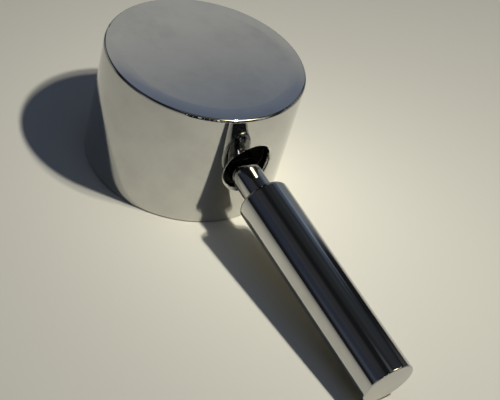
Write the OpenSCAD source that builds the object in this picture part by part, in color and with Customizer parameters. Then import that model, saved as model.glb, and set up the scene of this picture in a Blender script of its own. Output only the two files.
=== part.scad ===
// Lever handle for a diverter valve: a hollow round hood with a bar lever in its side.
// The hood stands on its rim at z = 0, its axis is Z, and the window for the lever faces +X.
// Lengths are in millimetres and angles in degrees.

/* [Hood] */
// Outer diameter of the hood
hood_d = 47; // [42:0.5:60]
// Height of the hood, from the rim to the flat top
hood_h = 30; // [28:0.5:40]
// Thickness of the round wall
wall_t = 2.4; // [1.8:0.1:3.2]
// Thickness of the top plate
top_t = 3; // [2:0.1:4]
// Radius of the polished edge round the top
top_edge_r = 0.6; // [0.3:0.1:1.5]
// Width of the band where polishing has rolled the flat top off towards its edge
top_roll_w = 4; // [2:0.5:8]
// How far the top is rolled off at the wall
top_roll_drop = 0.17; // [0.05:0.01:0.3]
// Radius of the polished edge round the rim
rim_edge_r = 0.3; // [0.2:0.1:0.6]
// Radius of the inner corner under the top plate
ceiling_fillet_r = 2; // [1:0.5:3]
// Depth of the turned seat inside the rim, which slips over the valve's collar
seat_depth = 4; // [2:0.5:4.5]
// How much the turned seat is wider than the cast wall above it, on the radius
seat_step = 0.4; // [0.2:0.1:0.8]

/* [Lever] */
// Diameter of the bar
bar_d = 12; // [10:0.5:14]
// Length of the bar
bar_l = 51; // [40:1:70]
// Diameter of the neck between the boss and the bar
neck_d = 7; // [6.8:0.1:8]
// Distance of the bar's shoulder from the hood's wall, along the lever
shoulder_gap = 7.9; // [5:0.1:12]
// Radius of the polished edge on the bar's shoulder
shoulder_edge_r = 0.9; // [0.2:0.1:1.2]
// Radius of the edge on the bar's free end
end_edge_r = 0.3; // [0.1:0.1:0.8]
// How far the lever leans down from square to the hood's axis
lever_drop = 7.7; // [0:0.1:9]
// Height at which the lever's axis crosses the hood's axis
lever_z = 17.4; // [16:0.1:19]

/* [Window] */
// Gap all round the neck if it stood in the middle of the window
window_gap = 2.5; // [2:0.1:3]
// How far the neck stands below the middle of the window
neck_low = 1.1; // [0:0.1:1.3]
// How far the neck stands to the side of the middle of the window
neck_side = 0.9; // [0:0.1:1.3]
// Radius of the polished edge round the window
window_edge_r = 0.8; // [0.4:0.1:1.2]

/* [Boss] */
// Diameter of the boss at its lower end
boss_d = 18; // [17:0.5:22]
// How much the boss widens up to the top plate, on the radius
boss_draft = 0.5; // [0.2:0.1:1]
// Height of the boss's lower end above the rim
boss_recess = 5; // [5:0.5:7]
// Diameter of the round pad on the boss that the lever is screwed into
pad_d = 10; // [9:0.2:12]
// Number of ribs between the boss and the wall
rib_count = 6; // [4:2:8]
// Thickness of a rib
rib_t = 1.6; // [1.2:0.1:2.4]
// Height of a rib below the top plate
rib_h = 4; // [2:0.5:5]

/* [Spline bush] */
// Outer diameter of the bush pressed into the boss
bush_d = 12; // [11:0.5:13]
// How far the bush reaches above its cross hole
bush_cover = 1.5; // [1:0.1:2.5]
// Number of teeth inside the bush
tooth_count = 20; // [16:2:24]
// Diameter across the roots of the teeth
tooth_root_d = 8; // [7.6:0.1:8.4]
// Height of a tooth
tooth_h = 0.4; // [0.3:0.05:0.5]
// How much the plain lead-in is wider than the teeth's roots, on the radius
lead_in_gap = 0.2; // [0.1:0.05:0.4]
// Length of the plain lead-in
lead_in_l = 2.5; // [2:0.5:3]

/* [Threads] */
// Thread diameter of the lever's spigot and of the grub screw behind it
thread_d = 5; // [4:0.5:6]
// Length of the threaded spigot
spigot_l = 5; // [4:0.5:7]
// Length of the grub screw
grub_l = 5; // [4:0.5:6]
// Size across the flats of the grub screw's hexagon socket
hex_af = 2.5; // [2:0.5:2.5]
// Depth of the hexagon socket
hex_depth = 2.2; // [1.5:0.1:2.4]
// Size of the chamfer where a thread starts
thread_chamfer = 0.5; // [0.3:0.1:0.8]

/* [Fits] */
// Clearance on the radius between a thread and its hole
thread_gap = 0.05; // [0.02:0.01:0.1]
// How far the grub screw stays back from the spindle's socket
grub_back_off = 0.8; // [0.3:0.1:1.5]
// Gap between the grub screw and the lever's spigot
grub_gap = 0.4; // [0.2:0.1:1]

/* [Hidden] */
$fn = 96;
overlap = 1;

hood_r = hood_d / 2;
inner_r = hood_r - wall_t;
seat_r = inner_r + seat_step;
ceiling_z = hood_h - top_t;

flat_r = hood_r - top_roll_w;
roll_r = (top_roll_w * top_roll_w + top_roll_drop * top_roll_drop) / (2 * top_roll_drop);
roll_z = hood_h - roll_r;
roll_angle = asin((top_roll_w - top_edge_r) / (roll_r - top_edge_r));
top_edge_z = roll_z + (roll_r - top_edge_r) * cos(roll_angle);

thread_r = thread_d / 2;
screw_r = thread_r - thread_gap;
socket_r = tooth_root_d / 2;
lead_in_r = socket_r + lead_in_gap;
grub_start = lead_in_r + grub_back_off;
spigot_start = grub_start + grub_l + grub_gap;
pad_reach = spigot_start + spigot_l;
shoulder_reach = hood_r + shoulder_gap;
lever_swing = asin(neck_side / hood_r);

window_r = neck_d / 2 + window_gap;
window_z = lever_z - hood_r * tan(lever_drop) + neck_low;
window_inner_x = sqrt(inner_r * inner_r - window_r * window_r);
edge_turns = 60;
edge_steps = 5;
edge_lift = window_edge_r / 2;
edge_bite = 0.03;

cross_hole_top_z = lever_z + thread_r / cos(lever_drop);
bush_l = cross_hole_top_z + bush_cover - boss_recess;

chrome = [0.78, 0.78, 0.77];
brass = [0.78, 0.62, 0.32];
steel = [0.25, 0.25, 0.27];

// The lever's axis becomes local +Z, with its zero where it crosses the hood's axis.
module along_lever() {
    translate([0, 0, lever_z])
        rotate([0, 90 + lever_drop, -lever_swing])
            children();
}

// Half section of a round bar from z0 to z1, with rounded corners at its top and bottom.
module rounded_section(r, z0, z1, top_r, bottom_r) {
    translate([0, z0]) square([r - bottom_r, z1 - z0 - top_r]);
    translate([0, z0 + bottom_r]) square([r - top_r, z1 - z0 - bottom_r]);
    translate([0, z0 + bottom_r]) square([r, z1 - z0 - top_r - bottom_r]);
    translate([r - top_r, z1 - top_r]) circle(top_r);
    translate([r - bottom_r, z0 + bottom_r]) circle(bottom_r);
}

// Outside of the hood: flat top, rolled-off band, polished edge, round wall and rim.
// The arc of the band and the arc of the edge meet without a crease at roll_angle.
module hood_block() {
    rotate_extrude() {
        rounded_section(hood_r, 0, top_edge_z + top_edge_r, top_edge_r, rim_edge_r);
        square([flat_r, hood_h]);
        intersection() {
            translate([flat_r, roll_z]) circle(roll_r);
            translate([0, rim_edge_r]) square([flat_r + roll_r * sin(roll_angle), hood_h]);
        }
    }
}

// Space inside the hood, with the turned seat at its mouth and the rounded inner corner.
module hood_space() {
    fillet = ceiling_fillet_r;
    rotate_extrude() {
        translate([0, -overlap]) square([seat_r, seat_depth + overlap]);
        square([inner_r, ceiling_z - fillet]);
        square([inner_r - fillet, ceiling_z]);
        translate([inner_r - fillet, ceiling_z - fillet]) circle(fillet);
    }
}

// Boss in the middle of the hood, with casting draft.
module boss() {
    translate([0, 0, boss_recess])
        cylinder(d1 = boss_d, d2 = boss_d + 2 * boss_draft, h = ceiling_z - boss_recess);
    translate([0, 0, ceiling_z])
        cylinder(d = boss_d, h = top_t / 2);
}

// Ribs that tie the boss to the wall under the top plate.
module ribs() {
    intersection() {
        for (i = [0 : rib_count - 1])
            rotate((i + 0.5) * 360 / rib_count)
                translate([0, -rib_t / 2, ceiling_z - rib_h])
                    cube([hood_r, rib_t, rib_h + top_t / 2]);
        cylinder(r = inner_r + wall_t / 2, h = hood_h);
    }
}

// Round pad on the boss, square to the lever, whose face the lever's neck is tightened against.
module lever_pad() {
    along_lever() cylinder(d = pad_d, h = pad_reach);
}

// Threaded hole along the lever, from the spindle's socket out through the pad's face.
module thread_hole() {
    along_lever() cylinder(r = thread_r, h = pad_reach + overlap);
}

// Pocket in the boss for the bush.
module bush_pocket() {
    translate([0, 0, boss_recess - overlap]) cylinder(d = bush_d, h = bush_l + overlap);
}

// Straight hole of the window, from just inside the wall outwards.
module window_hole() {
    translate([window_inner_x - overlap, 0, window_z])
        rotate([0, 90, 0])
            cylinder(r = window_r, h = hood_r);
}

// Centre of the ball that would roll round the window's edge, at angle a round the window.
// The ball bites through the two surfaces a little, so that the cutter crosses them cleanly.
function edge_centre(a) = let (
    inset = window_edge_r - edge_bite,
    y = (window_r + inset) * cos(a),
    z = (window_r + inset) * sin(a),
    r = hood_r - inset
) [sqrt(r * r - y * y), y, z];

// Directions from that centre to the hood's outside and to the window's axis.
function to_outside(c) = [c[0], c[1], 0] / norm([c[0], c[1], 0]);
function to_window(a) = [0, -cos(a), -sin(a)];

// Arc of directions from u to v in equal steps.
function arc(u, v, steps) = let (angle = acos(u * v)) [
    for (i = [0 : steps])
        (sin((1 - i / steps) * angle) * u + sin(i / steps * angle) * v) / sin(angle)
];

// Outline of the cutter at angle a: the rounded edge, closed through the open space beyond it.
function edge_outline(a) = let (
    c = edge_centre(a),
    u = to_outside(c),
    v = to_window(a),
    far = window_edge_r + edge_lift
) [
    for (w = arc(u, v, edge_steps)) c + window_edge_r * w,
    c + far * v,
    c + far * (u + v),
    c + far * u
];

// Cutter that rounds the saddle-shaped edge where the window meets the round wall.
module window_edge_cutter() {
    outlines = [for (k = [0 : edge_turns - 1]) edge_outline(k * 360 / edge_turns)];
    count = len(outlines[0]);
    faces = [
        for (k = [0 : edge_turns - 1], i = [0 : count - 1])
            let (
                a = k * count,
                b = (k + 1) % edge_turns * count,
                j = (i + 1) % count
            )
            each [[a + i, b + i, b + j], [a + i, b + j, a + j]]
    ];
    translate([0, 0, window_z])
        polyhedron(points = [for (o = outlines) each o], faces = faces);
}

module hood() {
    color(chrome) difference() {
        union() {
            difference() {
                hood_block();
                hood_space();
            }
            boss();
            ribs();
            lever_pad();
        }
        bush_pocket();
        thread_hole();
        window_hole();
        window_edge_cutter();
    }
}

// Toothed hole of the bush: flat roots and tips joined by straight flanks.
module serration() {
    pitch = 360 / tooth_count;
    tip_r = socket_r - tooth_h;
    corners = [[socket_r, -0.15], [socket_r, 0.15], [tip_r, 0.4], [tip_r, 0.6]];
    polygon([
        for (i = [0 : tooth_count - 1], p = corners)
            p[0] * [cos((i + p[1]) * pitch), sin((i + p[1]) * pitch)]
    ]);
}

// Bush pressed into the boss, which fits the valve's toothed spindle.
module spline_bush() {
    color(brass) difference() {
        translate([0, 0, boss_recess]) cylinder(d = bush_d, h = bush_l);
        translate([0, 0, boss_recess - overlap])
            linear_extrude(height = bush_l + 2 * overlap) serration();
        translate([0, 0, boss_recess - overlap])
            cylinder(r = lead_in_r, h = lead_in_l + overlap);
        translate([0, 0, boss_recess + lead_in_l])
            cylinder(r1 = lead_in_r, r2 = lead_in_r - tooth_h, h = tooth_h);
        thread_hole();
    }
}

// Half section of a thread's outside, with a chamfer where it starts.
module chamfered_start(r, l) {
    polygon([[0, 0], [r - thread_chamfer, 0], [r, thread_chamfer], [r, l], [0, l]]);
}

// Grub screw behind the lever, which clamps the spindle through the bush's cross hole.
module grub_screw() {
    color(steel) along_lever() translate([0, 0, grub_start]) difference() {
        rotate_extrude() chamfered_start(screw_r, grub_l);
        translate([0, 0, grub_l - hex_depth])
            cylinder(d = hex_af / cos(30), h = hex_depth + overlap, $fn = 6);
    }
}

// The lever is one turned piece: threaded spigot, neck and bar.
module lever() {
    bar_end = shoulder_reach + bar_l;
    color(chrome) along_lever() rotate_extrude() {
        translate([0, spigot_start]) chamfered_start(screw_r, spigot_l + overlap);
        translate([0, pad_reach]) square([neck_d / 2, shoulder_reach + overlap - pad_reach]);
        rounded_section(bar_d / 2, shoulder_reach, bar_end, end_edge_r, shoulder_edge_r);
    }
}

hood();
spline_bush();
grub_screw();
lever();
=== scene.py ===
"""Lever handle of a diverter valve, dressed and lit like the photographed one."""
import math

import bpy
from mathutils import Matrix, Vector

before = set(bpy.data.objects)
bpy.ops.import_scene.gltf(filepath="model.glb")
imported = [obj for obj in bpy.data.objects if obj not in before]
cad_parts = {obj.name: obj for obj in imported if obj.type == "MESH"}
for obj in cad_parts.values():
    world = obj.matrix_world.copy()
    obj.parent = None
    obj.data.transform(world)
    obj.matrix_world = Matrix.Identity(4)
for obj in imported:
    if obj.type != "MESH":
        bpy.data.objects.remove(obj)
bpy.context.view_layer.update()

# Lengths are in metres and angles in degrees. Only the camera's lens and sensor are in millimetres.

# Camera, solved from the photograph's outlines
CAMERA_TARGET = Vector((0.0321, -0.0059, 0.015))
CAMERA_DISTANCE = 0.2537
CAMERA_AZIMUTH = -46.7
CAMERA_ELEVATION = 39.42
CAMERA_ROLL = 17.74
CAMERA_LENS = 83.85
SENSOR_WIDTH = 36.0
CLIP_START = 0.01
CLIP_END = 20.0

# The lever's own frame: its origin on the hood's axis, and its Z axis along the lever
LEVER_Z = 0.0174
LEVER_DROP = 7.7
LEVER_SWING = 2.19

# Hidden threads: the spigot ends at THREAD_END along the lever and is thinner than THREAD_RADIUS,
# and the grub screw's thread starts outside its socket, over the radii of SCREW_FLANK
THREAD_PITCH = 0.0008
THREAD_RADIUS = 0.0026
THREAD_END = 0.0154
SCREW_FLANK = (0.0016, 0.0018)

# Inside of the hood: the cast wall and ceiling, the turned seat at the rim, and the boss's end.
# One finish gives way to the next within EDGE_SOFTNESS of each limit.
CAST_RADIUS = 0.0213
CEILING_Z = 0.0272
SEAT_RADIUS = 0.0217
SEAT_TOP = 0.0041
BOSS_END_Z = 0.005
BOSS_RADIUS = 0.0092
EDGE_SOFTNESS = 0.0001

# Table: its colour at the object, where a pool of light is painted on, and far from it, where that
# painted light has faded, and how far the painted light reaches
TABLE_IN_PAINTED_LIGHT = (0.84, 0.81, 0.69)
TABLE_BEYOND_PAINTED_LIGHT = (0.46, 0.45, 0.40)
PAINTED_LIGHT_CENTRE = (0.018, 0.012, 0.0)
PAINTED_LIGHT_RADIUS = 0.055
FLOOR_RADIUS = 4.0
FLOOR_SIDES = 96

# Backdrop: its colour, and the distances over which the table turns into it
BACKDROP_COLOUR = (0.27, 0.27, 0.26)
BACKDROP_STARTS = (0.15, 0.75)
# Its parts above the table: the azimuths where each starts to show and starts to fade, the width of
# both changes, and the elevations over which the top fades. The directions that the photograph's
# chrome shows as black are left out.
BACKDROP_PARTS = [(56.0, 96.0), (178.0, 216.0), (256.0, 310.0)]
BACKDROP_FADE = 10.0
BACKDROP_TOP = (20.0, 34.0)

# Lamps: azimuth, elevation, width, level, colour, and whether the metal mirrors them
LAMP_DISTANCE = 0.5
LAMPS = {
    "key": (38.4, 64.8, 2.5, 0.56, (1.0, 0.98, 0.92), True),
    "second_key": (47.0, 66.0, 2.5, 0.27, (1.0, 0.96, 0.84), True),
    "fill": (0.0, 89.9, 60.0, 0.15, (0.48, 0.62, 1.0), False),
}

# Studio as the metal shows it. Soft patches: azimuth, elevation, radius and colour
ROOM_COLOUR = (0.013, 0.014, 0.016)
PATCHES = [
    (112.5, 33.0, 5.0, (0.12, 0.14, 0.16)),
    (112.0, 52.0, 24.0, (0.022, 0.026, 0.031)),
    (150.0, 68.0, 20.0, (0.015, 0.017, 0.018)),
    (238.0, 51.0, 17.0, (0.030, 0.030, 0.033)),
    (249.0, 28.0, 22.0, (0.024, 0.030, 0.048)),
    (253.0, 18.0, 9.0, (0.030, 0.033, 0.040)),
    (48.0, 60.0, 28.0, (0.36, 0.33, 0.17)),
    (48.0, 63.0, 14.0, (9.0, 8.0, 4.6)),
    (40.0, 30.0, 9.0, (1.4, 1.45, 1.55)),
    (0.0, 90.0, 12.0, (0.20, 0.21, 0.23)),
    (-8.0, 30.0, 2.5, (8.0, 8.0, 8.0)),
    (-30.0, 33.0, 2.5, (6.0, 6.0, 6.0)),
]
# Wall of the studio: the azimuths over which it starts and ends
WALL_STARTS = (109.5, 112.5)
WALL_ENDS = (160.0, 178.0)
# Tint of its near side, and the azimuths over which that fades out
WALL_SIDE_TINT = (0.46, 0.52, 0.60)
WALL_TINT_FADES = (114.0, 134.0)
# How far its shades are raised, and the azimuths between which that changes
WALL_RISE = (-1.8, 5.5)
WALL_RISES = (130.0, 150.0)
# Elevation, and the wall's colour there
WALL_SHADES = [
    (0.0, (0.44, 0.44, 0.43)),
    (30.0, (0.44, 0.44, 0.42)),
    (33.0, (0.31, 0.32, 0.33)),
    (35.5, (0.19, 0.22, 0.28)),
    (42.0, (0.13, 0.16, 0.23)),
    (48.0, (0.08, 0.10, 0.14)),
    (54.0, (0.0, 0.0, 0.0)),
]
# Elevation straight up, where the wall's ramp of colours ends
ZENITH = 90.0

# Colours of the metals
HOOD_PLATING = (0.57, 0.57, 0.555)
LEVER_PLATING = (0.54, 0.54, 0.53)
CAST_COLOUR = (0.30, 0.30, 0.295)
TURNED_COLOUR = (0.46, 0.46, 0.455)
BRASS_COLOUR = (0.72, 0.52, 0.24)
OXIDE_COLOUR = (0.055, 0.055, 0.060)
BLACK = (0.0, 0.0, 0.0)
WHITE = (1.0, 1.0, 1.0)

# What each mark makes of its metal's colour
FILM_SHADE = 0.90
STAIN_SHADE = 0.8
TARNISH_SHADE = 0.68
WEAR_SHADE = 2.2

# Noise patterns: scale, detail and roughness
WAVES = (150.0, 2.0, 0.5)
HAIRLINES = (1800.0, 3.0, 0.7)
FILM = (90.0, 6.0, 0.62)
CAST_GRAIN = (1400.0, 4.0, 0.65)
STAINS = (160.0, 4.0, 0.5)
TARNISH = (420.0, 5.0, 0.6)
WEAR = (1500.0, 4.0, 0.5)
# The levels of noise over which each mark comes in
FILM_SHOWS = (0.40, 0.70)
GRAIN_SHOWS = (0.3, 0.7)
STAINS_SHOW = (0.35, 0.65)
TARNISH_SHOWS = (0.35, 0.7)
WEAR_SHOWS = (0.4, 0.75)

# Hairlines: their height against the waves, and how much finer their pattern is along each axis
HAIRLINE_HEIGHT = 0.04
HOOD_FINENESS = (1.0, 1.0, 6.0)
LEVER_FINENESS = (1.0, 1.0, 0.05)

# Spacing of the turning marks
CUT_PITCH = 0.00022
BUSH_FACE_PITCH = 0.00018
BUSH_BORE_PITCH = 0.00025

# Bump: strength and distance
PLATING_BUMP = (1.0, 0.000008)
CAST_BUMP = (0.8, 0.00012)
CUT_BUMP = (0.5, 0.00001)
THREAD_BUMP = (1.0, 0.0002)
BRASS_BUMP = (0.5, 0.000008)

# Roughness, from the bare metal to its mark or grain
PLATING_ROUGHNESS = (0.035, 0.085)
CAST_ROUGHNESS = (0.42, 0.62)
BRASS_ROUGHNESS = (0.22, 0.42)
OXIDE_ROUGHNESS = (0.45, 0.30)
TURNED_ROUGHNESS = 0.30
SPIGOT_ROUGHNESS = 0.30


def direction(azimuth, elevation):
    """Unit vector towards a place in the studio."""
    a = math.radians(azimuth)
    e = math.radians(elevation)
    return Vector((math.cos(a) * math.cos(e), math.sin(a) * math.cos(e), math.sin(e)))


def opaque(colour, shade=1.0):
    """Colour for a node, made darker or lighter by shade."""
    return (*(shade * c for c in colour), 1.0)


def make_camera():
    """Camera at the photograph's place, turned about its own axis as the photograph was."""
    data = bpy.data.cameras.new("camera")
    data.lens = CAMERA_LENS
    data.sensor_width = SENSOR_WIDTH
    data.clip_start = CLIP_START
    data.clip_end = CLIP_END
    camera = bpy.data.objects.new("camera", data)
    bpy.context.collection.objects.link(camera)
    back = direction(CAMERA_AZIMUTH, CAMERA_ELEVATION)
    right = Vector((0, 0, 1)).cross(back).normalized()
    up = back.cross(right)
    turn = Matrix((right, up, back)).transposed()
    roll = Matrix.Rotation(math.radians(CAMERA_ROLL), 3, "Z")
    place = Matrix.Translation(CAMERA_TARGET + back * CAMERA_DISTANCE)
    camera.matrix_world = place @ (turn @ roll).to_4x4()
    bpy.context.scene.camera = camera


def make_lamp(name, azimuth, elevation, width, level, colour, mirrored):
    """Round area lamp aimed at the object; level 1 lights the floor to its written colour."""
    data = bpy.data.lights.new(name, "AREA")
    data.shape = "DISK"
    data.size = 2 * LAMP_DISTANCE * math.tan(math.radians(width / 2))
    data.color = colour
    towards = direction(azimuth, elevation)
    data.energy = level * (math.pi * LAMP_DISTANCE) ** 2 / towards.z
    lamp = bpy.data.objects.new(name, data)
    lamp.location = CAMERA_TARGET + towards * LAMP_DISTANCE
    lamp.rotation_euler = towards.to_track_quat("Z", "Y").to_euler()
    lamp.visible_glossy = mirrored
    bpy.context.collection.objects.link(lamp)


class Nodes:
    """Short way to write a node tree: makes a node, sets its inputs and links what is a socket."""

    def __init__(self, tree):
        self.tree = tree
        tree.nodes.clear()

    def add(self, kind, inputs=None, **settings):
        """Node of a kind, with its inputs by name or number and its settings."""
        node = self.tree.nodes.new(kind)
        for key, value in settings.items():
            setattr(node, key, value)
        for key, value in (inputs or {}).items():
            self.put(node.inputs[key], value)
        return node

    def put(self, socket, value):
        """Links a socket's value, or sets a plain one."""
        if isinstance(value, bpy.types.NodeSocket):
            self.tree.links.new(value, socket)
        else:
            socket.default_value = value

    def math(self, operation, a, b=0.0, c=0.0):
        """Number from up to three numbers."""
        return self.add("ShaderNodeMath", {0: a, 1: b, 2: c}, operation=operation).outputs[0]

    def vector(self, operation, a, b, output=0):
        """Vector, or with output "Value" a number, from two vectors."""
        node = self.add("ShaderNodeVectorMath", {0: a, 1: b}, operation=operation)
        return node.outputs[output]

    def ramp(self, value, low, high, to_low=0.0, to_high=1.0, kind="SMOOTHSTEP"):
        """Number that goes from to_low to to_high as value goes from low to high."""
        inputs = {
            "Value": value,
            "From Min": low,
            "From Max": high,
            "To Min": to_low,
            "To Max": to_high,
        }
        return self.add("ShaderNodeMapRange", inputs, interpolation_type=kind).outputs[0]

    def blend(self, factor, a, b):
        """Number that goes evenly from a to b as factor goes from 0 to 1."""
        return self.ramp(factor, 0.0, 1.0, a, b, "LINEAR")

    def between(self, value, rise, fall):
        """1 between two soft edges and 0 outside them, each given as where it starts and ends."""
        return self.math("MULTIPLY", self.ramp(value, *rise), self.ramp(value, *fall, 1.0, 0.0))

    def below(self, value, limit):
        """1 below a limit and 0 above it."""
        return self.ramp(value, limit - EDGE_SOFTNESS, limit + EDGE_SOFTNESS, 1.0, 0.0)

    def mix(self, factor, a, b, blend="MIX"):
        """Colour that goes from a to b, or to what blend makes of the two."""
        # The node's colours are its inputs 6 and 7 and its output 2; the rest is for other data
        node = self.add("ShaderNodeMix", data_type="RGBA", blend_type=blend)
        self.put(node.inputs[0], factor)
        self.put(node.inputs[6], a)
        self.put(node.inputs[7], b)
        return node.outputs[2]

    def noise(self, place, scale, detail, roughness):
        """Noise pattern."""
        inputs = {"Vector": place, "Scale": scale, "Detail": detail, "Roughness": roughness}
        return self.add("ShaderNodeTexNoise", inputs).outputs[0]

    def bump(self, height, strength, distance):
        """Surface direction with a pattern's height added."""
        inputs = {"Height": height, "Strength": strength, "Distance": distance}
        return self.add("ShaderNodeBump", inputs).outputs[0]

    def split(self, vector):
        """X, Y and Z of a vector."""
        return self.add("ShaderNodeSeparateXYZ", {0: vector}).outputs

    def from_axis(self, x, y):
        """Distance from the Z axis."""
        squares = self.math("ADD", self.math("MULTIPLY", x, x), self.math("MULTIPLY", y, y))
        return self.math("SQRT", squares)

    def rings(self, distance, pitch):
        """Turning marks, as a wave along a distance from an axis or along it."""
        return self.math("SINE", self.math("MULTIPLY", distance, 2 * math.pi / pitch))

    def thread(self, turn, along):
        """Height of a fine right-hand thread, from the turn round its axis and the length along it."""
        phase = self.math("MULTIPLY", along, 2 * math.pi / THREAD_PITCH)
        return self.math("SINE", self.math("SUBTRACT", phase, turn))


def add_wall(n, azimuth, elevation):
    """Colour of the paler wall on one side of the dark studio."""
    rise = n.ramp(azimuth, *WALL_RISES, *WALL_RISE, "LINEAR")
    height = n.math("SUBTRACT", elevation, rise)
    shades = n.add("ShaderNodeValToRGB", {0: n.ramp(height, 0.0, ZENITH, kind="LINEAR")})
    stops = shades.color_ramp.elements
    # New stops start half-way, and get their places with the others below
    while len(stops) < len(WALL_SHADES):
        stops.new(0.5)
    for stop, (degrees, colour) in zip(stops, WALL_SHADES):
        stop.position = degrees / ZENITH
        stop.color = opaque(colour)
    tint = n.mix(n.ramp(azimuth, *WALL_TINT_FADES), opaque(WALL_SIDE_TINT), opaque(WHITE))
    wall = n.mix(1.0, shades.outputs[0], tint, "MULTIPLY")
    return n.mix(n.between(azimuth, WALL_STARTS, WALL_ENDS), opaque(BLACK), wall)


def add_backdrop(n, colour, azimuth, elevation):
    """Colour with the backdrop's parts over it."""
    around = n.math("FLOORED_MODULO", azimuth, 360.0)
    shown = 0.0
    for start, end in BACKDROP_PARTS:
        part = n.between(around, (start, start + BACKDROP_FADE), (end, end + BACKDROP_FADE))
        shown = n.math("ADD", part, shown)
    shown = n.math("MULTIPLY", shown, n.ramp(elevation, *BACKDROP_TOP, 1.0, 0.0))
    return n.mix(shown, colour, opaque(BACKDROP_COLOUR))


def add_patch(n, colour, towards, azimuth, elevation, radius, patch_colour):
    """Colour with a soft patch of light added to it."""
    closeness = n.vector("DOT_PRODUCT", towards, direction(azimuth, elevation), "Value")
    patch = n.ramp(closeness, math.cos(math.radians(radius)), 1.0)
    return n.mix(patch, colour, n.mix(1.0, colour, opaque(patch_colour), "ADD"))


def make_world():
    """Dark studio with a paler wall, a backdrop and soft patches, as the metal shows it."""
    world = bpy.data.worlds.new("studio")
    bpy.context.scene.world = world
    world.use_nodes = True
    # The lamps alone light the table, which keeps its shadows dark and sharp
    world.cycles_visibility.diffuse = False
    n = Nodes(world.node_tree)
    towards = n.add("ShaderNodeTexCoord").outputs["Generated"]
    x, y, z = n.split(towards)
    elevation = n.math("DEGREES", n.math("ARCSINE", z))
    azimuth = n.math("DEGREES", n.math("ARCTAN2", y, x))
    colour = n.mix(1.0, add_wall(n, azimuth, elevation), opaque(ROOM_COLOUR), "ADD")
    colour = add_backdrop(n, colour, azimuth, elevation)
    for patch in PATCHES:
        colour = add_patch(n, colour, towards, *patch)
    background = n.add("ShaderNodeBackground", {"Color": colour, "Strength": 1.0})
    n.add("ShaderNodeOutputWorld", {"Surface": background.outputs[0]})


def floor_material():
    """Plain cream, with a pool of light painted on it round the object, that turns into the backdrop
    far from it.
    """
    material, n, place = new_material("floor")
    # Painted pool of light: the table's colour grows paler towards the object, standing in for lamp
    # light that falls off with distance
    away = n.math("DIVIDE", n.vector("DISTANCE", place, PAINTED_LIGHT_CENTRE, "Value"), PAINTED_LIGHT_RADIUS)
    painted_light_pool = n.math("DIVIDE", 1.0, n.math("MULTIPLY_ADD", away, away, 1.0))
    table = n.mix(painted_light_pool, opaque(TABLE_BEYOND_PAINTED_LIGHT), opaque(TABLE_IN_PAINTED_LIGHT))
    surface = n.add("ShaderNodeBsdfDiffuse", {"Color": table}).outputs[0]
    glow = {"Color": opaque(BACKDROP_COLOUR), "Strength": 1.0}
    backdrop = n.add("ShaderNodeEmission", glow).outputs[0]
    far = n.ramp(n.vector("LENGTH", place, (0, 0, 0), "Value"), *BACKDROP_STARTS)
    cove = n.add("ShaderNodeMixShader", {0: far, 1: surface, 2: backdrop}).outputs[0]
    n.add("ShaderNodeOutputMaterial", {"Surface": cove})
    return material


def make_floor():
    """Round table top, plain and flat."""
    angles = [2 * math.pi * k / FLOOR_SIDES for k in range(FLOOR_SIDES)]
    rim = [(FLOOR_RADIUS * math.cos(a), FLOOR_RADIUS * math.sin(a), 0) for a in angles]
    mesh = bpy.data.meshes.new("floor")
    mesh.from_pydata(rim, [], [tuple(range(FLOOR_SIDES))])
    mesh.materials.append(floor_material())
    floor = bpy.data.objects.new("floor", mesh)
    bpy.context.collection.objects.link(floor)


def new_material(name):
    """Empty node material, with its nodes and the object's coordinates."""
    material = bpy.data.materials.new(name)
    material.use_nodes = True
    n = Nodes(material.node_tree)
    return material, n, n.add("ShaderNodeTexCoord").outputs["Object"]


def metal(n, colour, roughness, normal):
    """Metal surface of a material."""
    inputs = {"Base Color": colour, "Metallic": 1.0, "Roughness": roughness, "Normal": normal}
    shader = n.add("ShaderNodeBsdfPrincipled", inputs)
    n.add("ShaderNodeOutputMaterial", {"Surface": shader.outputs[0]})


def along_lever(n, place):
    """Place in the lever's own frame.

    It comes as a vector, and as radius, turn round the lever's axis and length along it."""
    turn = (0.0, math.radians(90 + LEVER_DROP), -math.radians(LEVER_SWING))
    inputs = {"Vector": place, "Location": (0, 0, LEVER_Z), "Rotation": turn}
    local = n.add("ShaderNodeMapping", inputs, vector_type="TEXTURE").outputs[0]
    x, y, z = n.split(local)
    return local, n.from_axis(x, y), n.math("ARCTAN2", y, x), z


def polished(n, place, plating, fineness):
    """Bump, colour and roughness of plating with faint waves, hairlines and dried water marks.

    The hairlines run along the axes of place where fineness is small."""
    hairlines = n.noise(n.vector("MULTIPLY", place, fineness), *HAIRLINES)
    height = n.math("MULTIPLY_ADD", hairlines, HAIRLINE_HEIGHT, n.noise(place, *WAVES))
    film = n.ramp(n.noise(place, *FILM), *FILM_SHOWS)
    colour = n.mix(film, opaque(plating), opaque(plating, FILM_SHADE))
    return n.bump(height, *PLATING_BUMP), colour, n.blend(film, *PLATING_ROUGHNESS)


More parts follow.
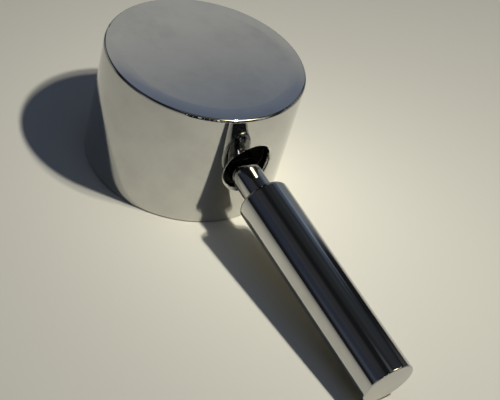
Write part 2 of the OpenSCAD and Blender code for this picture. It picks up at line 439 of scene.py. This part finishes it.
def hood_material():
    """Plating outside; dull cast zinc inside, with turning marks on the seat and the boss's end."""
    material, n, place = new_material("hood_plating")
    x, y, z = n.split(place)
    radius = n.from_axis(x, y)
    inside = n.math("MULTIPLY", n.below(radius, CAST_RADIUS), n.below(z, CEILING_Z))
    seat = n.math("MULTIPLY", n.below(radius, SEAT_RADIUS), n.below(z, SEAT_TOP))
    from_end = n.math("ABSOLUTE", n.math("SUBTRACT", z, BOSS_END_Z))
    at_end = n.ramp(from_end, EDGE_SOFTNESS, 2 * EDGE_SOFTNESS, 1.0, 0.0)
    boss_end = n.math("MULTIPLY", at_end, n.below(radius, BOSS_RADIUS))
    turned = n.math("MAXIMUM", seat, boss_end)
    cast = n.math("MULTIPLY", inside, n.math("SUBTRACT", 1.0, turned))

    polish, plating, plating_rough = polished(n, place, HOOD_PLATING, HOOD_FINENESS)
    grain = n.noise(place, *CAST_GRAIN)
    sand = n.bump(grain, *CAST_BUMP)
    seat_marks = n.math("MULTIPLY", seat, n.rings(z, CUT_PITCH))
    end_marks = n.math("MULTIPLY", boss_end, n.rings(radius, CUT_PITCH))
    cut = n.bump(n.math("MAXIMUM", seat_marks, end_marks), *CUT_BUMP)
    normal = n.mix(turned, n.mix(cast, polish, sand), cut)

    stains = n.ramp(n.noise(place, *STAINS), *STAINS_SHOW)
    dull = n.mix(stains, opaque(CAST_COLOUR), opaque(CAST_COLOUR, STAIN_SHADE))
    colour = n.mix(turned, n.mix(cast, plating, dull), opaque(TURNED_COLOUR))
    dull_rough = n.ramp(grain, *GRAIN_SHOWS, *CAST_ROUGHNESS)
    rough = n.blend(turned, n.blend(cast, plating_rough, dull_rough), TURNED_ROUGHNESS)
    metal(n, colour, rough, normal)
    return material


def lever_material():
    """Plating polished along the bar, with bare brass and a thread on the hidden spigot."""
    material, n, place = new_material("lever_plating")
    local, radius, turn, along = along_lever(n, place)
    polish, plating, plating_rough = polished(n, local, LEVER_PLATING, LEVER_FINENESS)
    thin = n.ramp(radius, THREAD_RADIUS, THREAD_RADIUS + EDGE_SOFTNESS, 1.0, 0.0)
    spigot = n.math("MULTIPLY", thin, n.math("LESS_THAN", along, THREAD_END))
    ridges = n.bump(n.thread(turn, along), *THREAD_BUMP)
    colour = n.mix(spigot, plating, opaque(BRASS_COLOUR))
    rough = n.blend(spigot, plating_rough, SPIGOT_ROUGHNESS)
    metal(n, colour, rough, n.mix(spigot, polish, ridges))
    return material


def bush_material():
    """Turned brass with a light tarnish."""
    material, n, place = new_material("turned_brass")
    x, y, z = n.split(place)
    face_marks = n.rings(n.from_axis(x, y), BUSH_FACE_PITCH)
    marks = n.math("ADD", face_marks, n.rings(z, BUSH_BORE_PITCH))
    tarnish = n.ramp(n.noise(place, *TARNISH), *TARNISH_SHOWS)
    colour = n.mix(tarnish, opaque(BRASS_COLOUR), opaque(BRASS_COLOUR, TARNISH_SHADE))
    metal(n, colour, n.blend(tarnish, *BRASS_ROUGHNESS), n.bump(marks, *BRASS_BUMP))
    return material


def screw_material():
    """Worn black oxide on a threaded steel screw."""
    material, n, place = new_material("black_oxide")
    radius, turn, along = along_lever(n, place)[1:]
    height = n.math("MULTIPLY", n.ramp(radius, *SCREW_FLANK), n.thread(turn, along))
    worn = n.ramp(n.noise(place, *WEAR), *WEAR_SHOWS)
    colour = n.mix(worn, opaque(OXIDE_COLOUR), opaque(OXIDE_COLOUR, WEAR_SHADE))
    metal(n, colour, n.blend(worn, *OXIDE_ROUGHNESS), n.bump(height, *THREAD_BUMP))
    return material


def dress(node, material):
    """Gives a CAD node its material."""
    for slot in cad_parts[node].material_slots:
        slot.material = material


bpy.context.scene.view_settings.view_transform = "Standard"
make_camera()
make_world()
make_floor()
for lamp_name, lamp in LAMPS.items():
    make_lamp(lamp_name, *lamp)

dress("hood", hood_material())
dress("lever", lever_material())
dress("spline_bush", bush_material())
dress("grub_screw", screw_material())
